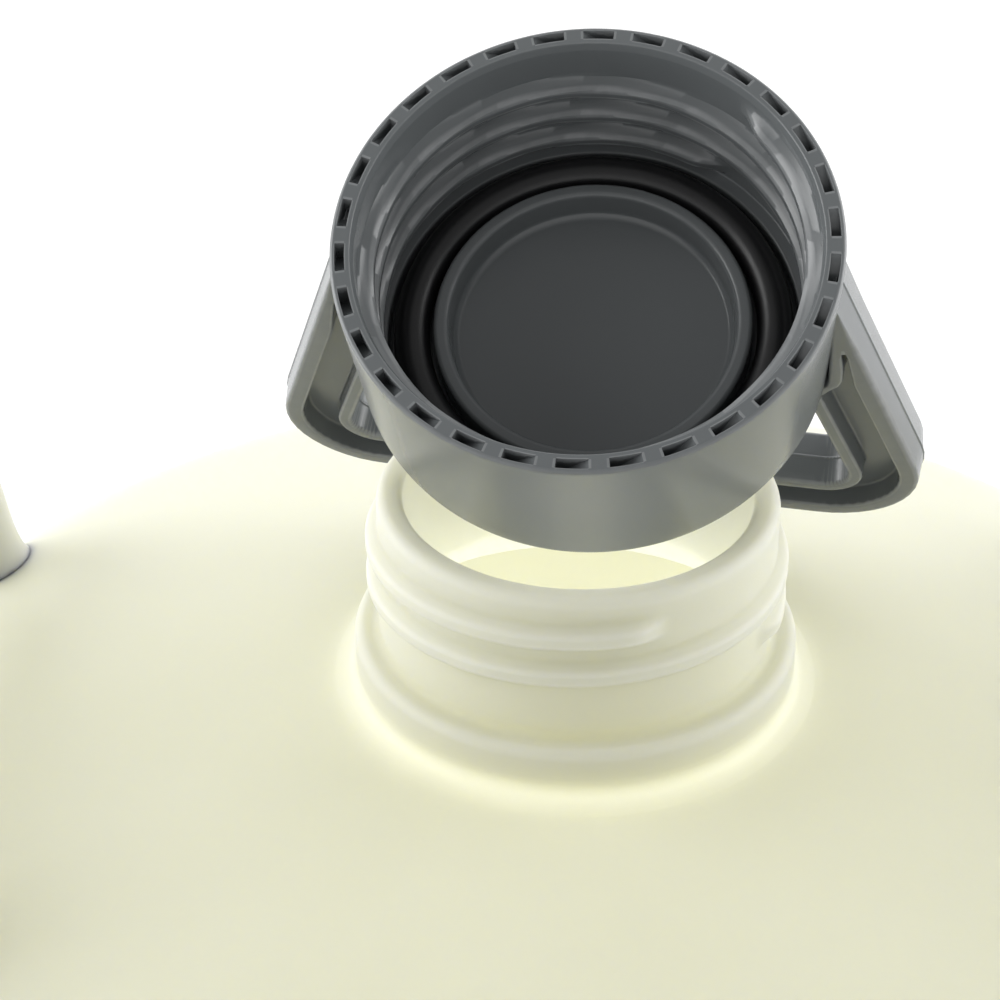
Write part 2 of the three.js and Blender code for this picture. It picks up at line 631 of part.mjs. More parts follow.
export default bottle;
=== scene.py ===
# %% [markdown]
# # A wide-mouthed dispenser bottle for liquid detergent
# The bottle is blown from milky polyethylene, and its screw cap is moulded in grey polypropylene
# together with the carrying handle. The imported CAD model is the fixed frame: it says where every
# part sits and which body it moves with. This file builds finer surfaces round that frame and
# gives every piece its finish. It starts by loading the frame.

# %% Load the frame
import math
import bpy
import numpy as np
from mathutils import Euler, Matrix


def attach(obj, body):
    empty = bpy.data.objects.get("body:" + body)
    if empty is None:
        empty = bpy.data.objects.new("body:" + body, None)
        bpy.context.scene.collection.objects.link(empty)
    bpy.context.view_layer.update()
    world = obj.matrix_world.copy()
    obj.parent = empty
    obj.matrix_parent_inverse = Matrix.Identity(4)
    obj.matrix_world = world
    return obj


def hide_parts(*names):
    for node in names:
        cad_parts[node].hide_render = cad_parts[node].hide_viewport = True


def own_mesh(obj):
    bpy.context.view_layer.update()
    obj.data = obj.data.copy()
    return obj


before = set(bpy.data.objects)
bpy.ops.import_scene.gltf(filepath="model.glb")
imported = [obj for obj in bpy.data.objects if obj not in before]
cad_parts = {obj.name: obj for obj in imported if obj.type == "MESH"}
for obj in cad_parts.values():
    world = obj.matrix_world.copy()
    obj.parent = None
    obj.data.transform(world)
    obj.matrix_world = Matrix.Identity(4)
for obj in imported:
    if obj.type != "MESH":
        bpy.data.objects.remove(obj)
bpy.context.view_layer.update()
print("frame:", sorted(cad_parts))

# %% [markdown]
# ## From numbers to a mesh
# Almost everything on this bottle is turned or swept: a profile that goes round an axis, or a
# section carried along a path. Both are a grid of points, so one helper turns any grid into a
# closed mesh. Rows that shrink to a point become a pole. The volume under the faces tells
# whether they point outwards; if it is negative, the faces are turned round.

# %% Mesh helpers
MM = 0.001
SAME_POINT = 1e-6                  # millimetres: a row of points closer than this is a pole


def skin(grid, along=False):
    """Vertices and quads over a grid of points, in millimetres.

    Face (i, j) joins point (i, j) to its neighbours (i, j+1), (i+1, j+1) and (i+1, j). The grid
    closes on itself in j, and in i too if along is set. A first or last row that stays open is
    filled by one face, unless it is already a pole.
    """
    rows, columns = grid.shape[:2]
    is_pole = np.ptp(grid, axis=1, keepdims=True).max(-1, keepdims=True) < SAME_POINT
    grid = np.where(is_pole, grid[:, :1], grid)
    index = np.arange(rows * columns).reshape(rows, columns)
    low = index if along else index[:-1]
    high = np.roll(index, -1, 0) if along else index[1:]
    quads = np.stack([low, np.roll(low, -1, 1), np.roll(high, -1, 1), high], -1)
    faces = quads.reshape(-1, 4)
    caps = []
    if not along:
        for row, line in ((index[0][::-1], grid[0]), (index[-1], grid[-1])):
            if np.ptp(line, axis=0).max() > SAME_POINT:
                caps.append(row)
    return grid.reshape(-1, 3), faces, caps


def welded(points, faces, caps):
    """Points that coincide made one, and the faces that this leaves: quads, and triangles at poles."""
    keys = np.round(points, 5)
    _, first, same = np.unique(keys, axis=0, return_index=True, return_inverse=True)
    same = same.reshape(-1)
    faces = same[faces]
    nxt = np.roll(faces, -1, 1)
    lost = faces == nxt
    quads = faces[~lost.any(1)]
    flat = faces[lost.sum(1) == 1]
    keep = ~(flat == np.roll(flat, -1, 1))
    triangles = flat[keep].reshape(-1, 3)
    return points[first], [*quads.tolist(), *triangles.tolist(), *[same[c].tolist() for c in caps]]


def edge_height(mesh):
    """How far each point stands proud: minus the mean, over its edges, of direction times normal.

    It is 0 on flat ground, above 0 on outer edges and below 0 in corners.
    """
    count = len(mesh.vertices)
    points, normals = np.empty(count * 3, np.float32), np.empty(count * 3, np.float32)
    mesh.vertices.foreach_get("co", points)
    mesh.vertex_normals.foreach_get("vector", normals)
    points, normals = points.reshape(-1, 3).astype(float), normals.reshape(-1, 3)
    ends = np.empty(len(mesh.edges) * 2, np.int32)
    mesh.edges.foreach_get("vertices", ends)
    a, b = ends.reshape(-1, 2).T
    run = points[b] - points[a]
    run /= np.maximum(np.linalg.norm(run, axis=1, keepdims=True), 1e-12)
    drop = np.bincount(a, -(run * normals[a]).sum(1), count)
    drop += np.bincount(b, (run * normals[b]).sum(1), count)
    return drop / np.maximum(np.bincount(ends, minlength=count), 1)


def mesh_piece(name, parts, body, material, node=None, sharp=38.0):
    """One object from several grids; each grid is a closed surface of its own."""
    points, faces, start = [], [], 0
    for part in parts:
        p, f = welded(*part)
        a, b, c = (p[[q[k] for q in f]] for k in (0, 1, 2))
        d = p[[q[-1] for q in f]]
        volume = sum(np.einsum("ij,ij->i", a, np.cross(u, v)).sum() for u, v in ((b, c), (c, d)))
        if volume < 0:
            f = [q[::-1] for q in f]
        points.append(p)
        faces += [[k + start for k in q] for q in f]
        start += len(p)
    mesh = bpy.data.meshes.new(name)
    mesh.from_pydata((np.concatenate(points) * MM).tolist(), [], faces)
    mesh.validate()
    mesh.shade_smooth()
    mesh.set_sharp_from_angle(angle=math.radians(sharp))
    mesh.materials.append(material)
    mesh.attributes.new("edge_height", "FLOAT", "POINT").data.foreach_set("value", edge_height(mesh))
    piece = bpy.data.objects.new(name, mesh)
    bpy.context.scene.collection.objects.link(piece)
    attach(piece, body)
    if node:
        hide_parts(*([node] if isinstance(node, str) else node))
    triangles = sum(len(q) - 2 for q in faces)
    print(f"{name}: {start} points, {triangles} triangles")
    return piece


def rounded(corners, step=None):
    """A line through corners (r, z, fillet radius), with each corner rounded by an arc.

    An arc leaves both sides at fillet / tan(half the angle between them) from the corner. With a
    step, straight runs are divided so that no piece is longer than it.
    """
    corners = np.array(corners, float)
    line = [corners[0, :2]]
    for before, here, after in zip(corners[:-2], corners[1:-1], corners[2:]):
        p, radius = here[:2], here[2]
        a = (before[:2] - p) / np.linalg.norm(before[:2] - p)
        b = (after[:2] - p) / np.linalg.norm(after[:2] - p)
        half = math.acos(np.clip(a @ b, -1, 1)) / 2
        if radius < 1e-6 or half > math.radians(89.5):
            line.append(p)
            continue
        reach = radius / math.tan(half)
        centre = p + (a + b) / np.linalg.norm(a + b) * radius / math.sin(half)
        start, end = p + a * reach - centre, p + b * reach - centre
        turn = math.pi - 2 * half
        count = max(2, math.ceil(turn / math.radians(9)))
        t = np.linspace(0, 1, count + 1)[:, None]
        arc = (np.sin((1 - t) * turn) * start + np.sin(t * turn) * end) / math.sin(turn)
        line += list(centre + arc)
    line.append(corners[-1, :2])
    line = np.array(line)
    if step is None:
        return line
    lengths = np.linalg.norm(np.diff(line, axis=0), axis=1)
    counts = np.maximum(1, np.ceil(lengths / step)).astype(int)
    pieces = [np.linspace(p, q, n, endpoint=False) for p, q, n in zip(line[:-1], line[1:], counts)]
    return np.concatenate([*pieces, line[-1:]])


def turned(profile, columns):
    """A profile (r, z) carried round the z axis: x = r cos t, y = r sin t, with t one full turn."""
    t = np.linspace(0, 2 * np.pi, columns, endpoint=False) if np.isscalar(columns) else columns
    r, z = profile[:, 0:1], profile[:, 1:2]
    return np.stack([r * np.cos(t), r * np.sin(t), z + 0 * t], -1)


def smooth(x):
    """0 below 0, 1 above 1, and 3x^2 - 2x^3 between."""
    x = np.clip(x, 0, 1)
    return x * x * (3 - 2 * x)


def helix_ridge(angle, depth, start, top, pitch, turns, foot, crest, fade):
    """Height, 0 to 1, of a right-handed thread's ridge at (angle, depth) on a cylinder.

    Going down one pitch takes one turn backwards. For each turn the distance from the ridge's
    middle gives the height: 1 within half the crest, 0 beyond half the foot.
    """
    height = np.zeros(np.broadcast(angle, depth).shape)
    for whole in range(-1, math.ceil(turns) + 2):
        run = (start - angle) / (2 * np.pi) + whole
        off = np.abs(depth - top - run * pitch)
        across = smooth((foot / 2 - off) / ((foot - crest) / 2))
        ends = smooth(run / fade) * smooth((turns - run) / fade)
        height = np.maximum(height, across * ends)
    return height


def moved(grid, matrix):
    """Every point of a grid put through a 4x4 matrix."""
    m = np.array(matrix)
    return grid @ m[:3, :3].T + m[:3, 3]

# %% [markdown]
# ## Shared effects for the materials
# Moulded plastic is never one even colour. Three effects are shared by several finishes, so each
# is a node group built once: a slow drift of tone through the wall, fine grain for the bump, and
# a lighter line along outer edges. Each puts out only values, and every material
# mixes them in with its own strength.

# %% Node groups


def node_group(name, inputs, outputs):
    group = bpy.data.node_groups.new(name, "ShaderNodeTree")
    for label, kind, value in inputs:
        socket = group.interface.new_socket(label, in_out="INPUT", socket_type=kind)
        if value is not None:
            socket.default_value = value
    for label, kind in outputs:
        group.interface.new_socket(label, in_out="OUTPUT", socket_type=kind)
    nodes = group.nodes
    return group, nodes.new("NodeGroupInput"), nodes.new("NodeGroupOutput")


def math_node(tree, operation, first, second, clamp=False):
    node = tree.nodes.new("ShaderNodeMath")
    node.operation, node.use_clamp = operation, clamp
    for socket, value in zip(node.inputs, (first, second)):
        if isinstance(value, (int, float)):
            socket.default_value = value
        else:
            tree.links.new(value, socket)
    return node.outputs[0]


def tone_drift():
    """Two octaves of soft noise in object space, from 0 to 1."""
    group, inside, outside = node_group("tone_drift", [("Position", "NodeSocketVector", None),
                                                       ("Scale", "NodeSocketFloat", 20.0)],
                                        [("Value", "NodeSocketFloat")])
    noise = group.nodes.new("ShaderNodeTexNoise")
    noise.inputs["Detail"].default_value = 3.0
    noise.inputs["Roughness"].default_value = 0.55
    group.links.new(inside.outputs["Position"], noise.inputs["Vector"])
    group.links.new(inside.outputs["Scale"], noise.inputs["Scale"])
    group.links.new(noise.outputs["Fac"], outside.inputs["Value"])
    return group


def surface_grain():
    """Fine mould texture with slow waviness under it, as a height from 0 to 1."""
    group, inside, outside = node_group("surface_grain", [("Position", "NodeSocketVector", None),
                                                          ("Fine", "NodeSocketFloat", 1800.0),
                                                          ("Waves", "NodeSocketFloat", 60.0)],
                                        [("Height", "NodeSocketFloat")])
    fine = group.nodes.new("ShaderNodeTexNoise")
    waves = group.nodes.new("ShaderNodeTexNoise")
    for node, label in ((fine, "Fine"), (waves, "Waves")):
        node.inputs["Detail"].default_value = 2.0
        group.links.new(inside.outputs["Position"], node.inputs["Vector"])
        group.links.new(inside.outputs[label], node.inputs["Scale"])
    total = math_node(group, "ADD", math_node(group, "MULTIPLY", fine.outputs["Fac"], 0.25),
                      math_node(group, "MULTIPLY", waves.outputs["Fac"], 0.75))
    group.links.new(total, outside.inputs["Height"])
    return group


def lighter_edges():
    """A mask that is 1 on outer edges, broken up by noise: the mesh's edge height above a threshold."""
    group, inside, outside = node_group("lighter_edges", [("Position", "NodeSocketVector", None),
                                                      ("Threshold", "NodeSocketFloat", 0.02),
                                                      ("Width", "NodeSocketFloat", 0.07)],
                                        [("Mask", "NodeSocketFloat")])
    edge = group.nodes.new("ShaderNodeAttribute")
    edge.attribute_name = "edge_height"
    noise = group.nodes.new("ShaderNodeTexNoise")
    noise.inputs["Scale"].default_value = 300.0
    group.links.new(inside.outputs["Position"], noise.inputs["Vector"])
    over = math_node(group, "SUBTRACT", edge.outputs["Fac"], inside.outputs["Threshold"])
    raised = math_node(group, "DIVIDE", over, inside.outputs["Width"], clamp=True)
    patchy = math_node(group, "ADD", noise.outputs["Fac"], 0.3)
    broken = math_node(group, "MULTIPLY", raised, patchy, clamp=True)
    group.links.new(broken, outside.inputs["Mask"])
    return group


TONE, GRAIN, EDGE_LIGHTENING = tone_drift(), surface_grain(), lighter_edges()
print("node groups:", [g.name for g in (TONE, GRAIN, EDGE_LIGHTENING)])

# %% [markdown]
# ## Finishes
# One function makes every moulded finish: two tones that drift into each other, a lighter edge,
# roughness that varies with the same drift, and a bump from the grain. The numbers that are the
# same all over a surface are set on the shader's own sockets.

# %% Material maker


def moulded(name, tone_a, tone_b, edge, roughness, grain, drift=20.0, fine=1800.0, waves=60.0,
            edge_share=0.5, specular=0.5, metallic=0.0, subsurface=0.0, radius=None, rough_range=0.06):
    material = bpy.data.materials.new(name)
    material.use_nodes = True
    tree = material.node_tree
    nodes, links = tree.nodes, tree.links
    shader = nodes["Principled BSDF"]
    shader.inputs["Metallic"].default_value = metallic
    shader.inputs["Specular IOR Level"].default_value = specular
    if subsurface:
        shader.inputs["Subsurface Weight"].default_value = subsurface
        shader.inputs["Subsurface Radius"].default_value = radius
        shader.inputs["Subsurface Scale"].default_value = 1.0
    place = nodes.new("ShaderNodeTexCoord").outputs["Object"]

    def use(group, **values):
        node = nodes.new("ShaderNodeGroup")
        node.node_tree = group
        links.new(place, node.inputs["Position"])
        for label, value in values.items():
            node.inputs[label].default_value = value
        return node.outputs[0]

    tone = use(TONE, Scale=drift)
    blend = nodes.new("ShaderNodeMix")
    blend.data_type = "RGBA"
    blend.inputs["A"].default_value = (*tone_a, 1)
    blend.inputs["B"].default_value = (*tone_b, 1)
    links.new(tone, blend.inputs["Factor"])
    # outer edges are mixed towards a lighter tone, in a line broken up by noise
    edge_mix = nodes.new("ShaderNodeMix")
    edge_mix.data_type = "RGBA"
    edge_mix.inputs["B"].default_value = (*edge, 1)
    links.new(blend.outputs["Result"], edge_mix.inputs["A"])
    links.new(math_node(tree, "MULTIPLY", use(EDGE_LIGHTENING), edge_share), edge_mix.inputs["Factor"])
    links.new(edge_mix.outputs["Result"], shader.inputs["Base Color"])
    spread = nodes.new("ShaderNodeMapRange")
    spread.inputs["To Min"].default_value = roughness - rough_range
    spread.inputs["To Max"].default_value = roughness + rough_range
    links.new(tone, spread.inputs["Value"])
    links.new(spread.outputs["Result"], shader.inputs["Roughness"])
    bump = nodes.new("ShaderNodeBump")
    bump.inputs["Strength"].default_value = grain
    bump.inputs["Distance"].default_value = 0.0002
    links.new(use(GRAIN, Fine=fine, Waves=waves), bump.inputs["Height"])
    links.new(bump.outputs["Normal"], shader.inputs["Normal"])
    return material


MILKY = moulded("milky_polyethylene", (0.61, 0.612, 0.525), (0.645, 0.647, 0.57), (0.70, 0.70, 0.65),
                roughness=0.50, grain=0.25, drift=14.0, fine=900.0, waves=35.0, edge_share=0.2,
                specular=0.2, subsurface=1.0, radius=(0.0100, 0.0096, 0.0072))
GREY = moulded("grey_polypropylene", (0.128, 0.138, 0.142), (0.145, 0.156, 0.160), (0.30, 0.31, 0.315),
               roughness=0.24, grain=0.22, drift=30.0, waves=90.0, edge_share=0.55)
TAP_GREY = moulded("dark_tap_polypropylene",
                   (0.055, 0.062, 0.067), (0.066, 0.073, 0.078), (0.14, 0.15, 0.155),
                   roughness=0.33, grain=0.35, drift=40.0, waves=120.0, edge_share=0.5)
RUBBER = moulded("black_rubber", (0.008, 0.008, 0.009), (0.014, 0.014, 0.015), (0.03, 0.03, 0.03),
                 roughness=0.36, grain=0.35, drift=80.0, fine=2600.0, waves=200.0, edge_share=0.3)
STEEL = moulded("stainless_wire", (0.58, 0.59, 0.60), (0.66, 0.67, 0.68), (0.75, 0.75, 0.76),
                roughness=0.26, grain=0.25, drift=200.0, fine=4000.0, waves=500.0, metallic=1.0)
print("materials:", len(bpy.data.materials))

# %% [markdown]
# ## The bottle
# A blow-moulded bottle is one skin of even thickness: outside, over the lip, down the bore and
# along the inside. So it is one profile that starts at the middle of the floor inside, climbs
# the inner wall, turns over the lip and comes back down outside to the middle of the base. The
# thread is part of the same skin: where the profile runs down the neck, the radius is raised
# by the height of a helical ridge, with soft edges as blown threads have.

# %% Bottle profile and neck thread
LIP = 245.0
DOME_R, DOME_TOP, NECK_FOOT_R = 430.0, 208.0, 43.0
WALL, BODY_R, EDGE_R, FOOT_EDGE_R = 2.6, 150.0, 36.0, 12.0
NECK_ROOT, NECK_BORE, NECK_FLARE, BEAD_R = 34.6, 30.0, 41.5, 39.0
INSIDE_START = 46.0                # radius where the bore's outline meets the inside of the dome
MID_WALL = 60.0                    # height where the wall's outlines start and end
THREAD_PITCH, THREAD_TURNS, THREAD_HEIGHT, THREAD_TOP = 7.2, 1.9, 2.0, 6.4
THREAD_FOOT, THREAD_CREST, THREAD_START, THREAD_FADE = 5.6, 1.6, -66.0, 0.03
THREAD_END_DEPTH = 26.5            # below the lip, just above the bead
BOTTLE_COLUMNS = 224


def dome(r):
    """Height of the shoulder's sphere at radius r: it passes through the neck's foot."""
    return DOME_TOP + np.sqrt(DOME_R ** 2 - r ** 2) - math.sqrt(DOME_R ** 2 - NECK_FOOT_R ** 2)


slope = math.asin((BODY_R - EDGE_R) / (DOME_R - EDGE_R))
edge_z = dome(DOME_R * math.sin(slope)) - EDGE_R * math.cos(slope)


def shoulder(inset, first_r, count, arc_count):
    """Points of the dome and of the rounding into the wall, set in by the wall's thickness."""
    r = np.linspace(first_r, (DOME_R - inset) * math.sin(slope), count, endpoint=False)
    top = np.stack([r, dome(r) - inset / np.cos(np.arcsin(r / DOME_R))], -1)
    t = np.linspace(math.pi / 2 - slope, 0, arc_count)
    arc_r = EDGE_R - inset
    edge = np.stack([BODY_R - EDGE_R + arc_r * np.cos(t), edge_z + arc_r * np.sin(t)], -1)
    return np.concatenate([top, edge])


inner_r = BODY_R - WALL
floor_inside = rounded([(0, 5.6, 0), (111.8, 5.6, 4), (118.4, WALL, 4),
                        (inner_r, WALL, FOOT_EDGE_R - WALL), (inner_r, MID_WALL, 0)])
inner_shoulder = shoulder(WALL, INSIDE_START, 12, 10)[::-1]
bore = rounded([(INSIDE_START, dome(INSIDE_START) - WALL, 0), (NECK_FLARE, LIP - 39, 3),
                (NECK_BORE + WALL, LIP - 32, 2), (NECK_BORE, LIP - 27.5, 6), (NECK_BORE, LIP, 1.3),
                (NECK_ROOT, LIP, 1.9), (NECK_ROOT, LIP - 4, 0)], step=1.2)
neck = rounded([(NECK_ROOT, LIP - 4, 0), (NECK_ROOT, LIP - 27, 1.8), (BEAD_R, LIP - 27, 1.8),
                (BEAD_R, LIP - 32.6, 2.2), (38.6, LIP - 35.4, 2.5), (NECK_FOOT_R, LIP - 37, 5)],
               step=0.42)
foot = rounded([(BODY_R, MID_WALL, 0), (BODY_R, 0, FOOT_EDGE_R), (118, 0, 3), (112, 3, 3), (46, 3, 3),
                (40, 0, 3), (0, 0, 0)])
profile = np.concatenate([floor_inside, inner_shoulder[1:], bore[1:], neck[1:],
                          shoulder(0.0, 45.0, 30, 16), foot[1:]])
profile = profile[np.r_[True, np.linalg.norm(np.diff(profile, axis=0), axis=1) > 0.02]]

bottle_skin = turned(profile, BOTTLE_COLUMNS)
angle = np.arctan2(bottle_skin[..., 1], bottle_skin[..., 0])
depth = LIP - bottle_skin[..., 2]
first_outside = len(floor_inside) + len(inner_shoulder) + len(bore) - 8
outside_neck = (np.arange(len(profile)) >= first_outside)[:, None]
ridge = helix_ridge(angle, depth, math.radians(THREAD_START), THREAD_TOP, THREAD_PITCH, THREAD_TURNS,
                    THREAD_FOOT, THREAD_CREST, THREAD_FADE)
lift = THREAD_HEIGHT * ridge * outside_neck * (depth < THREAD_END_DEPTH)
radius = np.hypot(bottle_skin[..., 0], bottle_skin[..., 1])
bottle_skin[..., :2] *= ((radius + lift) / np.maximum(radius, 1e-6))[..., None]
print(f"bottle profile {len(profile)} points, thread stands {lift.max():.2f} mm")

# %% [markdown]
# ## Side grips and the pad for the tap
# Each grip is a round bar that rises from the shoulder, runs along it and goes back down. The
# section is carried along a smooth path, and it swells towards both feet as blown plastic does
# where it runs into a wall. The tap sits on a flat pad, a short drum with a rounded edge.

# %% Swept sections


def swept(path, normal, section):
    """A section (a, b) carried along a path.

    Each point of the path carries the section in the plane across it: a along the given normal
    and b along tangent x normal. The section may differ from point to point.
    """
    tangent = np.gradient(path, axis=0)
    tangent /= np.linalg.norm(tangent, axis=1, keepdims=True)
    side = normal - tangent * np.sum(normal * tangent, 1, keepdims=True)
    side /= np.linalg.norm(side, axis=1, keepdims=True)
    other = np.cross(tangent, side)
    return path[:, None] + section[..., 0:1] * side[:, None] + section[..., 1:2] * other[:, None]


def spline(points, count):
    """A smooth line through points: cubic between neighbours, resampled to an even spacing."""
    points = np.array(points, float)
    before, after = 2 * points[0] - points[1], 2 * points[-1] - points[-2]
    p = np.concatenate([[before], points, [after]])
    t = np.linspace(0, 1, 24, endpoint=False)[:, None]
    runs = [0.5 * (2 * b + (c - a) * t + (2 * a - 5 * b + 4 * c - d) * t ** 2
                   + (3 * b - a - 3 * c + d) * t ** 3)
            for a, b, c, d in zip(p[:-3], p[1:-2], p[2:-1], p[3:])]
    line = np.concatenate([*runs, points[-1:]])
    along = np.r_[0, np.cumsum(np.linalg.norm(np.diff(line, axis=0), axis=1))]
    even = np.linspace(0, along[-1], count)
    return np.stack([np.interp(even, along, line[:, k]) for k in range(3)], -1)


GRIP_R, GRIP_HALF, GRIP_SECTION = 134.0, math.radians(27.3), 8.3
GRIP_SINK, GRIP_RISE = 16, 32      # feet below the dome's height there, and bar above it
SWELL, SWELL_FADE, SWELL_LIMIT = 4.0, 5.0, 13.0
PAD_R, PAD_T, PAD_EDGE, PAD_Y = 25, 12, 1.2, -153
TAP_Z = 40.0

foot_z, bar_z = dome(GRIP_R) - GRIP_SINK, dome(GRIP_R) + GRIP_RISE
rise = [(1, foot_z), (0.97, foot_z + 14), (0.9, bar_z - 9), (0.76, bar_z - 1), (0.4, bar_z), (0, bar_z)]
stations = np.array(rise + [(-s, z) for s, z in rise[-2::-1]])
grip_path = spline(np.stack([GRIP_R * np.cos(stations[:, 0] * GRIP_HALF),
                             GRIP_R * np.sin(stations[:, 0] * GRIP_HALF), stations[:, 1]], -1), 90)
outward = grip_path * [1, 1, 0] / GRIP_R
t = np.linspace(0, 2 * np.pi, 36, endpoint=False)
above_shoulder = np.maximum(grip_path[:, 2] - dome(GRIP_R) + 2, 0)
swell = np.minimum(GRIP_SECTION + SWELL * np.exp(-above_shoulder / SWELL_FADE), SWELL_LIMIT)
ring = np.stack([np.cos(t), np.sin(t)], -1)
grip = swept(grip_path, outward, swell[:, None, None] * ring)

pad_profile = rounded([(0, -PAD_T, 0), (PAD_R, -PAD_T, 0), (PAD_R, 0, PAD_EDGE), (0, 0, 0)])
lay_forward = Matrix.Translation((0, PAD_Y, TAP_Z)) @ Matrix.Rotation(math.radians(90), 4, "X")
pad = moved(turned(pad_profile, 96), lay_forward)

mesh_piece("bottle_shell", [skin(bottle_skin), skin(grip), skin(grip * [-1, -1, 1]), skin(pad)],
           "bottle", MILKY, "bottle_body", sharp=50)

# %% [markdown]
# ## The cap
# The cap lies on its back against the neck, so its own frame is a turn and a lean away from the
# bottle's. It is again one profile, from the middle of the closed end outside, up the skirt,
# over the rim, down the bore and along the inside of the end to the middle. The bore's radius
# is lowered by the inner thread. The rim has thirty small ramped pockets: columns
# of the grid stand on both sides of every pocket's edges, so that the depth can drop cleanly.

# %% Cap shell with thread and pockets
CAP_YAW, CAP_LEAN, CAP_TURN, CAP_BACK, CAP_UP = -7.8, 33.56, -2.55, 4.5, 44.5
cap_place = (Matrix.Translation((0, 0, LIP)) @ Matrix.Rotation(math.radians(CAP_YAW), 4, "Z")
             @ Matrix.Translation((0, CAP_BACK, CAP_UP)) @ Matrix.Rotation(math.radians(CAP_LEAN), 4, "X")
             @ Matrix.Rotation(math.radians(CAP_TURN), 4, "Z"))
CAP_R, CAP_END_R, CAP_H, CAP_BORE, SEAT_R = 42, 41, 35.6, 38.2, 35.8
LEDGE, GROOVE, BOSS_R, BOSS_TOP, BOSS_IN_R, RECESS = 29.3, 33.0, 27.6, 26.2, 25, 31.8
CAP_THREAD_HEIGHT, CAP_THREAD_TURNS, CAP_THREAD_TOP, CAP_THREAD_START = 2.5, 3.0, 4.6, 56.5
CAP_THREAD_FOOT, CAP_THREAD_CREST, CAP_THREAD_FADE, CAP_THREAD_END = 4.9, 1.7, 0.035, 28
POCKETS, POCKET_START, POCKET_DEPTH, POCKET_SHALLOW = 30, 11.1, 4.5, 0.3
POCKET_STEP, HALF_POCKET = 12, 3.55         # degrees
offsets = np.array([-HALF_POCKET - 0.15, -HALF_POCKET, -1.8, 0, 1.8, HALF_POCKET, HALF_POCKET + 0.15,
                    4.4, 5.2, 6.0, 6.8, 7.6])
middles = POCKET_START + np.arange(POCKETS)[:, None] * POCKET_STEP
columns = np.radians(np.sort(((middles + offsets) % 360).ravel()))

outside = rounded([(0, -CAP_H, 0), (CAP_END_R, -CAP_H, 3.5), (CAP_R, -0.8, 0)], step=3.0)
rim = rounded([(CAP_R, -0.8, 0), (CAP_R, 0, 0.7), (41.3, 0, 0)])
pocket_rows = np.array([(41.17, 0), (41.12, 0), (40.35, 0), (39.58, 0), (39.53, 0)])
inside = rounded([(39.3, 0, 0), (38.7, 0, 0.3), (CAP_BORE, -1.5, 1.0), (CAP_BORE, -28.8, 0.4),
                  (SEAT_R, -LEDGE, 0.5), (SEAT_R, -GROOVE, 0.6), (BOSS_R, -GROOVE, 0.6),
                  (BOSS_R, -BOSS_TOP, 0.9), (BOSS_IN_R, -BOSS_TOP, 0.9), (24.5, -31.0, 0.8),
                  (23.6, -RECESS, 0.8), (20.0, -RECESS, 0), (0, -RECESS, 0)], step=0.55)
cap_profile = np.concatenate([outside, rim[1:], pocket_rows, inside])
cap_skin = turned(cap_profile, columns)

row = np.arange(len(cap_profile))[:, None]
first_pocket_row = len(outside) + len(rim) - 1
across = (row >= first_pocket_row + 1) & (row <= first_pocket_row + 3)
from_centre = (np.degrees(columns) - POCKET_START + POCKET_STEP / 2) % POCKET_STEP - POCKET_STEP / 2
in_pocket = np.abs(from_centre) < HALF_POCKET + 0.05
# the floor is a ramp: deepest at one end, nearly level with the rim at the other
climb = np.clip((from_centre + HALF_POCKET) / (2 * HALF_POCKET), 0, 1)
cap_skin[..., 2] -= (POCKET_DEPTH + (POCKET_SHALLOW - POCKET_DEPTH) * climb) * across * in_pocket

angle = np.broadcast_to(columns, cap_skin.shape[:2])
depth = -cap_skin[..., 2]
on_bore = np.abs(cap_profile[:, 0:1] - CAP_BORE) < 0.6
in_bore = (row >= first_pocket_row + len(pocket_rows)) & on_bore & (depth < CAP_THREAD_END)
ridge = helix_ridge(angle, depth, math.radians(CAP_THREAD_START), CAP_THREAD_TOP, THREAD_PITCH,
                    CAP_THREAD_TURNS, CAP_THREAD_FOOT, CAP_THREAD_CREST, CAP_THREAD_FADE)
radius = np.hypot(cap_skin[..., 0], cap_skin[..., 1])
drop = CAP_THREAD_HEIGHT * ridge * in_bore
cap_skin[..., :2] *= ((radius - drop) / np.maximum(radius, 1e-6))[..., None]
print(f"cap profile {len(cap_profile)} points, {len(columns)} columns")

# %% [markdown]
# ## The carrying handle
# The handle is an H-section bent into a U: two flanges joined by a thin web, so that it is stiff
# but cools quickly in the mould. The section is carried along the U. Near the cap the channels
# run out in a rounded end, so the web's thickness grows there to the full breadth. The outer
# and inner faces fall away a little from the parting line in their middle.

# %% Handle
REACH, LEG_X, LEG_SLOPE, CORNER_R = 84.4, 40.1, 0.317, 18.0
HEIGHT, BREADTH, OUTER_FLANGE, INNER_FLANGE, WEB, DRAFT = 13.6, 10.9, 4.0, 2.9, 2.6, 0.5
LEG_TOP = 2.5                      # depth below the mouth where the legs grow out of the skirt
CHANNEL_START, CHANNEL_FADE = 19.0, 3.0
SKIRT_INSIDE = 40.2                # the legs beside the bore reach in no further than this radius
LEG_FULL_START, LEG_FULL = 28.5, 34        # depths between which the legs get their full height
lean = math.atan(LEG_SLOPE)
bar_corner_x = LEG_X + LEG_SLOPE * REACH
leg_top_x = LEG_X + LEG_SLOPE * LEG_TOP
outer_line = rounded([(leg_top_x, -LEG_TOP, 0), (bar_corner_x, -REACH, CORNER_R),
                      (-bar_corner_x, -REACH, CORNER_R), (-leg_top_x, -LEG_TOP, 0)], step=1.6)
direction = np.gradient(outer_line, axis=0)
direction /= np.linalg.norm(direction, axis=1, keepdims=True)
inward = np.stack([direction[:, 1], -direction[:, 0]], -1)
inward *= np.sign(np.sum(inward * (np.array([0, -30]) - outer_line), 1, keepdims=True))


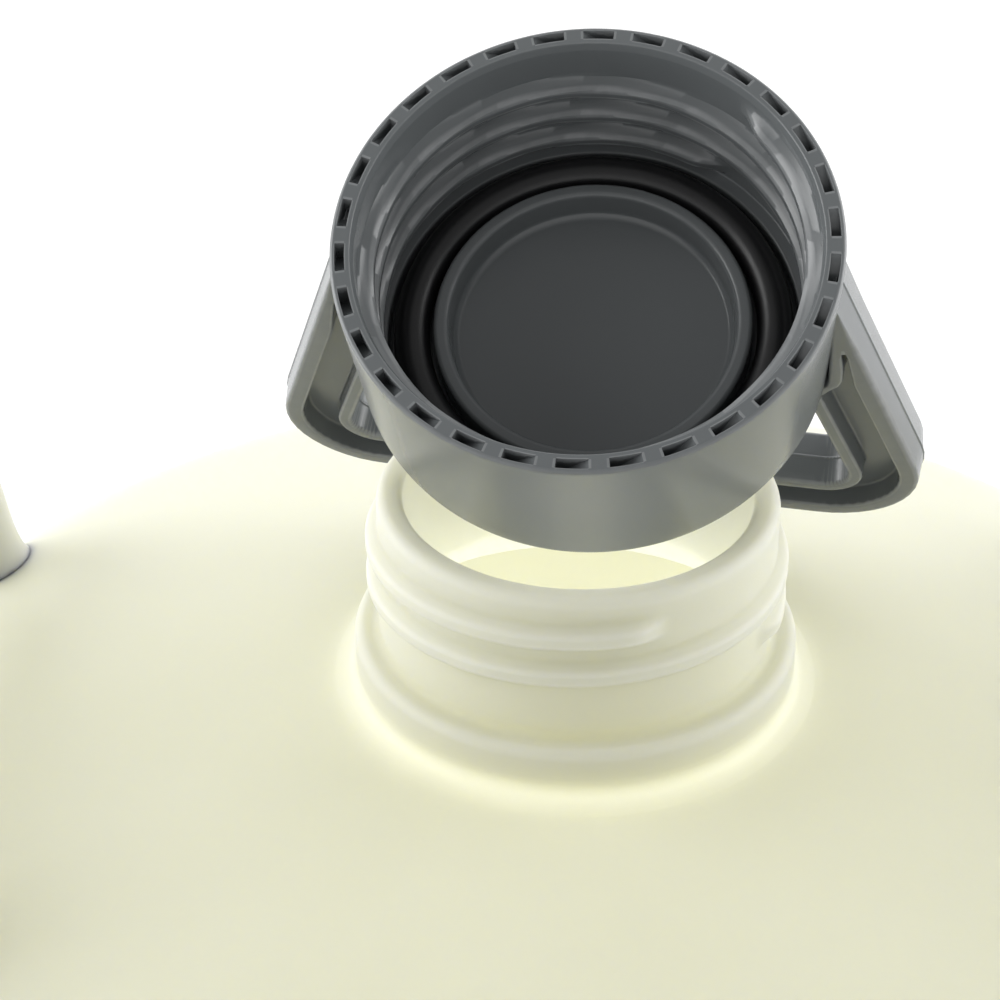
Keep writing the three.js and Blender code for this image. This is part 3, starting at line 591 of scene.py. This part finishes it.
def h_section(depth_left, height):
    """Section of the handle as (inset from the outer line, y, rounding), over its upper half.

    depth_left says how deep both channels are, from 0 for a full section to 1 for the thin web.
    A fine ridge stands in the middle of the outer and inner faces, where the mould parts.
    """
    b, web = BREADTH / 2, WEB / 2
    floor = b - (b - web) * depth_left
    o, i = min(OUTER_FLANGE, 0.45 * height), max(height - INNER_FLANGE, 0.6 * height)
    return [(-0.22, 0, 0), (-0.18, 0.14, 0.05), (0.02, 0.34, 0.1), (DRAFT, b, 0.9), (o, b, 0.6),
            (o + 0.2, floor, 0.5), (i - 0.2, floor, 0.5), (i, b, 0.6), (height - DRAFT * 0.6, b, 0.9),
            (height, 0.34, 0.1), (height + 0.15, 0.14, 0.05), (height + 0.18, 0, 0)]


def rounded_fixed(corners, arc_points=5):
    """A line through corners (x, y, rounding), where every corner gets the same number of points.

    So all the sections along the handle match, point for point.
    """
    corners = np.array(corners, float)
    line = [corners[0, :2]]
    for before, here, after in zip(corners[:-2], corners[1:-1], corners[2:]):
        p = here[:2]
        a, b = before[:2] - p, after[:2] - p
        reach = min(here[2], 0.45 * np.linalg.norm(a), 0.45 * np.linalg.norm(b))
        a, b = a / max(np.linalg.norm(a), 1e-9), b / max(np.linalg.norm(b), 1e-9)
        s = np.linspace(0, 1, arc_points)[:, None]
        line += list((1 - s) ** 2 * (p + a * reach) + 2 * s * (1 - s) * p + s ** 2 * (p + b * reach))
    line.append(corners[-1, :2])
    return np.array(line)


def section_line(depth_left, height):
    upper = rounded_fixed(h_section(depth_left, height))
    lower = upper[::-1] * [1, -1]
    return np.concatenate([upper, lower[1:-1]])


leg_depth = -outer_line[:, 1]
channel = smooth((leg_depth - CHANNEL_START) / CHANNEL_FADE)
# beside the bore the legs stop inside the skirt; below the closed end they have their full height
in_skirt = (np.abs(outer_line[:, 0]) - SKIRT_INSIDE) * math.cos(lean)
height = np.where(leg_depth < LEG_FULL_START, np.clip(in_skirt, 0.6, HEIGHT), HEIGHT)
growing = (leg_depth >= LEG_FULL_START) & (leg_depth < LEG_FULL)
grown = in_skirt + (HEIGHT - in_skirt) * smooth((leg_depth - LEG_FULL_START) / 5)
height = np.where(growing, grown, height)
section = np.stack([section_line(max(c, 0.001), h) for c, h in zip(channel, height)])
handle = np.stack([outer_line[:, None, 0] + inward[:, None, 0] * section[..., 0], section[..., 1],
                   outer_line[:, None, 1] + inward[:, None, 1] * section[..., 0]], -1)
print(f"handle {handle.shape[0]} sections of {handle.shape[1]} points")

mesh_piece("cap_shell", [skin(moved(cap_skin, cap_place))], "cap", GREY, "screw_cap", sharp=42)
mesh_piece("cap_handle", [skin(moved(handle, cap_place))], "cap", GREY, "screw_cap", sharp=42)

# %% [markdown]
# ## The O-ring
# A ring of round section lies in the groove round the raised boss. A fine seam runs round its
# outside, where the two halves of its mould met.

# %% O-ring
RING_R, RING_DEPTH, RING_SECTION, SEAM, SEAM_WIDTH = 31.55, 29.55, 3.12, 0.05, 0.05
t = np.linspace(0, 2 * np.pi, 40, endpoint=False)
section_r = RING_SECTION + SEAM * np.exp(-(((t + np.pi) % (2 * np.pi) - np.pi) / SEAM_WIDTH) ** 2)
o_profile = np.stack([RING_R + section_r * np.cos(t), -RING_DEPTH + section_r * np.sin(t)], -1)
mesh_piece("o_ring", [skin(moved(turned(o_profile, 180), cap_place), along=True)],
           "cap", RUBBER, "cap_o_ring")

# %% [markdown]
# ## The tap's body, bonnet and washer
# The barrel, flange and threaded shank are turned about the tap's level axis, and the chamber and
# its spout about the upright one, so each is a closed ring of a profile. The bonnet has twenty
# shallow ribs for the fingers: its radius falls and rises with the angle, and the ribs fade out
# at both ends of the side.

# %% Tap body, bonnet and outer washer
CHAMBER_Y = -183.0
level = Matrix.Translation((0, 0, TAP_Z)) @ Matrix.Rotation(math.radians(90), 4, "X")
upright = Matrix.Translation((0, CHAMBER_Y, TAP_Z))

# distances along the level axis, from the bottle's axis
SHANK_BACK, WASHER_BACK, FLANGE_BACK, FLANGE_FRONT, BARREL_FRONT = 132, 153.3, 155.3, 158.3, 174.7
SHANK_R, SHANK_BORE, FLANGE_R, BARREL_R = 11.5, 7.5, 19, 10.5
barrel_profile = rounded([(SHANK_BORE, 150, 0), (SHANK_BORE, SHANK_BACK, 0.5), (SHANK_R, SHANK_BACK, 0.8),
                          (SHANK_R, FLANGE_BACK, 0.3), (FLANGE_R, FLANGE_BACK, 0.5),
                          (FLANGE_R, FLANGE_FRONT, 0.9), (BARREL_R, FLANGE_FRONT, 1.6),
                          (BARREL_R, BARREL_FRONT, 0.2), (SHANK_BORE, BARREL_FRONT, 0.2),
                          (SHANK_BORE, 151, 0)])
SPOUT_BORE, SPOUT_END_R, CHAMBER_R, CHAMBER_BORE, CHAMBER_NECK_R = 6, 8.6, 13.5, 10, 12
chamber_profile = rounded([(SPOUT_BORE, 0, 0), (SPOUT_BORE, -28, 0.5), (SPOUT_END_R, -28, 0.8),
                           (10.5, -16, 4), (CHAMBER_R, -11, 3), (CHAMBER_R, 11, 0.6),
                           (CHAMBER_NECK_R, 11, 0.3), (CHAMBER_NECK_R, 21, 0.5), (CHAMBER_BORE, 21, 0.4),
                           (CHAMBER_BORE, -8, 0.6), (SPOUT_BORE, -8, 0.4), (SPOUT_BORE, -1, 0)])
mesh_piece("tap_barrel_and_spout", [skin(moved(turned(barrel_profile, 96), level), along=True),
                                    skin(moved(turned(chamber_profile, 96), upright), along=True)],
           "bottle", TAP_GREY, "tap_body", sharp=45)

RIBS, RIB_DEPTH, RIB_LOW, RIB_HIGH, RIB_FADE = 20, 0.8, 12, 23, 1.2
BONNET_BORE, BONNET_R, BONNET_TOP_R, BONNET_TOP, STEM_HOLE = 12.3, 14.6, 13, 25, 3.4
bonnet_profile = rounded([(BONNET_BORE, 15, 0), (BONNET_BORE, 11.3, 0.3), (BONNET_R, 11.3, 0.5),
                          (BONNET_R, 23, 0.5), (BONNET_TOP_R, 23.2, 0.6), (BONNET_TOP_R, BONNET_TOP, 0.7),
                          (STEM_HOLE, BONNET_TOP, 0.4), (STEM_HOLE, 21.3, 0.3), (BONNET_BORE, 21.3, 0.3),
                          (BONNET_BORE, 16, 0)], step=0.9)
bonnet_skin = turned(bonnet_profile, 240)
angle = np.arctan2(bonnet_skin[..., 1], bonnet_skin[..., 0])
radius, height = np.hypot(bonnet_skin[..., 0], bonnet_skin[..., 1]), bonnet_skin[..., 2]
ends = smooth((height - RIB_LOW) / RIB_FADE) * smooth((RIB_HIGH - height) / RIB_FADE)
groove = smooth(0.5 - 1.2 * np.cos(RIBS * angle)) * ends
bonnet_skin[..., :2] *= (1 - RIB_DEPTH * groove * (radius > 14) / radius)[..., None]
mesh_piece("tap_ribbed_bonnet", [skin(moved(bonnet_skin, upright), along=True)], "bottle", TAP_GREY,
           "tap_bonnet", sharp=45)

WASHER_BORE, WASHER_R, WASHER_FRONT = 11.8, 18, 155
washer_profile = rounded([(WASHER_BORE, 154, 0), (WASHER_BORE, WASHER_BACK, 0.4),
                          (WASHER_R, WASHER_BACK, 0.6), (WASHER_R, WASHER_FRONT, 0.6),
                          (WASHER_BORE, WASHER_FRONT, 0.4), (WASHER_BORE, 154.2, 0)])
mesh_piece("tap_washer", [skin(moved(turned(washer_profile, 96), level), along=True)], "bottle", RUBBER,
           "tap_gasket_outer")

# %% [markdown]
# ## The lever and its pin
# The lever is flat plastic: an outline in the plane of its swing, thickened across it, with the
# edges rounded. The two cheeks are cams, whose distance to the bonnet grows evenly with the
# swing. The cheek's outline is therefore worked out from that distance and its rate of change.
# The pin is a turned rod with a rivet head at each end.

# %% Tap lever and pin
PIN_HEIGHT, CAM_LOW, STEM_TRAVEL, SWING_DEGREES = 32.3, 7.0, 4.0, 70
CAM_STEP, DWELL_START, FALL_START = 2.0, 98, 120           # degrees
CHEEK_IN, CHEEK_OUT = 3.4, 7.0
PIN_R, PIN_HEAD_R, PIN_SHOULDER, PIN_END = 1.5, 2.5, 7.3, 8.5
lever_place = upright @ Matrix.Translation((0, 0, PIN_HEIGHT))


def thickened(outline, x0, x1, edge=0.7):
    """An outline (y, z) carried from x0 to x1; near both ends it draws in by a quarter circle."""
    outline = np.asarray(outline, float)
    ahead = np.roll(outline, -1, 0) - np.roll(outline, 1, 0)
    normal = np.stack([-ahead[:, 1], ahead[:, 0]], -1) / np.linalg.norm(ahead, axis=1, keepdims=True)
    area = np.sum(outline[:, 0] * np.roll(outline[:, 1], -1) - np.roll(outline[:, 0], -1) * outline[:, 1])
    normal *= np.sign(area)
    t = np.linspace(0, np.pi / 2, 5)
    rise, inset = edge * (1 - np.cos(t)), edge * (1 - np.sin(t))
    x = np.r_[x0 + rise, x1 - rise[::-1]]
    section = outline + np.r_[inset, inset[::-1]][:, None, None] * normal
    return np.concatenate([np.broadcast_to(x[:, None, None], section.shape[:2] + (1,)), section], -1)


# the flank that climbs already covers the directions just past it, so the arc starts later
degrees = np.arange(-180, 180, CAM_STEP)
swing = np.radians(degrees[(degrees <= SWING_DEGREES) | (degrees >= DWELL_START)])
full_swing, fall = math.radians(SWING_DEGREES), math.radians(FALL_START)
rate = STEM_TRAVEL / full_swing
climbing, falling = (swing >= 0) & (swing <= full_swing + 1e-6), swing > fall
lift = np.select([swing < 0, climbing, falling],
                 [0 * swing, rate * swing, STEM_TRAVEL * (math.pi - swing) / (math.pi - fall)], STEM_TRAVEL)
reach = CAM_LOW + lift
growth = np.where(climbing, rate, 0)
cam = np.stack([-reach * np.sin(swing) - growth * np.cos(swing),
                -reach * np.cos(swing) + growth * np.sin(swing)], -1)
paddle_points = [(5.6, 6.2), (6.5, 12), (4.9, 19), (4.2, 26), (4.0, 35), (3.6, 38.8), (2, 40),
                 (0.5, 38.8), (0.1, 32), (0, 24), (-2, 14), (-4.6, 8.4), (-4.4, 6.2), (0.6, 5.6)]
paddle = spline(np.pad(np.array(paddle_points + paddle_points[:1]), ((0, 0), (0, 1))), 90)[:-1, :2]
mesh_piece("tap_cam_lever", [skin(moved(thickened(cam, CHEEK_IN, CHEEK_OUT), lever_place)),
                             skin(moved(thickened(cam, -CHEEK_OUT, -CHEEK_IN), lever_place)),
                             skin(moved(thickened(paddle, -CHEEK_OUT, CHEEK_OUT, 1.0), lever_place))],
           "lever", GREY, "tap_lever", sharp=45)

pin_profile = rounded([(0, -PIN_END, 0), (PIN_HEAD_R, -PIN_END, 0.7), (PIN_HEAD_R, -PIN_SHOULDER, 0.2),
                       (PIN_R, -PIN_SHOULDER, 0.1), (PIN_R, PIN_SHOULDER, 0.1),
                       (PIN_HEAD_R, PIN_SHOULDER, 0.2), (PIN_HEAD_R, PIN_END, 0.7), (0, PIN_END, 0)])
lay_across = lever_place @ Matrix.Rotation(math.radians(90), 4, "Y")
mesh_piece("tap_pin", [skin(moved(turned(pin_profile, 48), lay_across))], "lever", STEEL,
           "tap_lever_pin")

# %% [markdown]
# ## The closing spring
# A coil of drawn wire sits round the stem and presses it down. Its wire is a round section carried
# along a helix. The real coil gets shorter as the stem rises.

# %% Tap spring
COIL_R, WIRE_R, TURNS, COIL_LOW, COIL_HIGH, COIL_END = 5.0, 0.5, 6, 42.8, 60.5, 61.0
TURN_STEPS, WIRE_POINTS = 28, 12
along_wire = np.linspace(0, 1, TURNS * TURN_STEPS + 1)
t = along_wire * TURNS * 2 * np.pi
axis_out = np.stack([np.cos(t), np.sin(t), 0 * t], -1)
heights = COIL_LOW + along_wire * (COIL_HIGH - COIL_LOW)
helix = COIL_R * axis_out + np.stack([0 * t, 0 * t + CHAMBER_Y, heights], -1)
t = np.linspace(0, 2 * np.pi, WIRE_POINTS, endpoint=False)
wire_section = WIRE_R * np.stack([np.cos(t), np.sin(t)], -1)
wire = np.broadcast_to(wire_section, (len(helix), WIRE_POINTS, 2))
coil = mesh_piece("tap_coil", [skin(swept(helix, axis_out, wire))], "bottle", STEEL, "tap_spring")
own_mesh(coil)

# %% [markdown]
# ## Tap parts that keep their CAD shape
# The stem, nut, inner washer and seat cup are inside the tap or the bottle, and their CAD shape is
# right as it stands, so they only get a finish.

# %% Finishes for the inner parts
for node, material in {"tap_stem": TAP_GREY, "tap_nut": TAP_GREY, "tap_seat_cup": RUBBER,
                       "tap_gasket_inner": RUBBER}.items():
    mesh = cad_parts[node].data
    mesh.materials.clear()
    mesh.materials.append(material)

# %% [markdown]
# ## Floor, light and camera
# The bottle stands on a wide white floor in a light tent. The tent is bright low down, at the
# sides and behind, and darker above and in front, so the grey cap shows dark tops and bright
# edges. Large panels stand at the left, the right and the back. Two small lamps inside the bottle
# stand for the light that has come through its wall. The camera looks down on the neck from in
# front, through a long lens.

# %% Floor, lights, camera
TENT_BRIGHT, TENT_DARK = 1.7, 0.36
TENT_SLANT, BRIGHT_BELOW, DARK_ABOVE = 0.38, 0.15, 0.80
FLOOR_REACH = 6.0
WHITE_PAINT, WHITE_LIGHT = (0.95, 0.95, 0.95, 1), (1.0, 1.0, 1.0, 1)

floor_mesh = bpy.data.meshes.new("floor")
corners = [(x * FLOOR_REACH, y * FLOOR_REACH, 0) for x, y in ((-1, -1), (1, -1), (1, 1), (-1, 1))]
floor_mesh.from_pydata(corners, [], [(0, 1, 2, 3)])
floor_object = bpy.data.objects.new("floor", floor_mesh)
bpy.context.scene.collection.objects.link(floor_object)
floor_material = bpy.data.materials.new("white_floor")
floor_material.use_nodes = True
floor_shader = floor_material.node_tree.nodes["Principled BSDF"]
floor_shader.inputs["Base Color"].default_value = WHITE_PAINT
floor_shader.inputs["Roughness"].default_value = 0.6
floor_mesh.materials.append(floor_material)

world = bpy.data.worlds.new("light_tent")
world.use_nodes = True
tree = world.node_tree
backdrop = tree.nodes["Background"]
backdrop.inputs["Color"].default_value = WHITE_LIGHT
direction_node = tree.nodes.new("ShaderNodeTexCoord")
split = tree.nodes.new("ShaderNodeSeparateXYZ")
tree.links.new(direction_node.outputs["Generated"], split.inputs["Vector"])
# the tent is open above and in front, where it is dark: height less a share of depth measures that
behind = math_node(tree, "MULTIPLY", split.outputs["Y"], TENT_SLANT)
opening = math_node(tree, "SUBTRACT", split.outputs["Z"], behind)
shade = tree.nodes.new("ShaderNodeMapRange")
for label, value in (("From Min", BRIGHT_BELOW), ("From Max", DARK_ABOVE),
                     ("To Min", TENT_BRIGHT), ("To Max", TENT_DARK)):
    shade.inputs[label].default_value = value
tree.links.new(opening, shade.inputs["Value"])
tree.links.new(shade.outputs["Result"], backdrop.inputs["Strength"])
bpy.context.scene.world = world


def panel(name, place, width, height, power):
    """A rectangular lamp of the given size in metres and power in watts, facing the bottle."""
    light = bpy.data.lights.new(name, "AREA")
    light.shape, light.size, light.size_y, light.energy = "RECTANGLE", width, height, power
    lamp = bpy.data.objects.new(name, light)
    lamp.location = place
    away = np.array(place) - np.array(PANEL_AIM)
    tilt = math.acos(away[2] / np.linalg.norm(away))
    lamp.rotation_euler = Euler((tilt, 0, math.atan2(away[0], -away[1])))
    bpy.context.scene.collection.objects.link(lamp)


PANEL_AIM = (0, 0, 0.25)
panel("panel_left", (-1.3, 0.15, 0.75), 1.0, 1.2, 13.0)
panel("panel_right", (1.3, 0.25, 0.75), 1.0, 1.2, 11.0)
panel("panel_back", (0.0, 1.5, 0.95), 1.8, 1.0, 5.0)

# light that has come through the wall fills the bottle and shows in its mouth
for name, height, power, size in (("light_in_body", 0.075, 0.42, 0.04),
                                  ("light_in_neck", 0.205, 0.034, 0.012)):
    glow = bpy.data.lights.new(name, "POINT")
    glow.energy, glow.shadow_soft_size = power, size
    lamp = bpy.data.objects.new(name, glow)
    lamp.location = (0, 0, height)
    lamp.visible_camera = False
    lamp.visible_glossy = False
    bpy.context.scene.collection.objects.link(lamp)

camera_data = bpy.data.cameras.new("camera")
camera_data.lens, camera_data.sensor_width, camera_data.clip_start = 82.6, 36.0, 0.02
camera = bpy.data.objects.new("camera", camera_data)
camera.location = (-0.0133, -0.3338, 0.4503)
camera.rotation_euler = Euler((math.radians(58.1), 0, 0))
bpy.context.scene.collection.objects.link(camera)
bpy.context.scene.camera = camera
bpy.context.scene.view_settings.view_transform = "Standard"
bpy.context.scene.view_settings.look = "None"
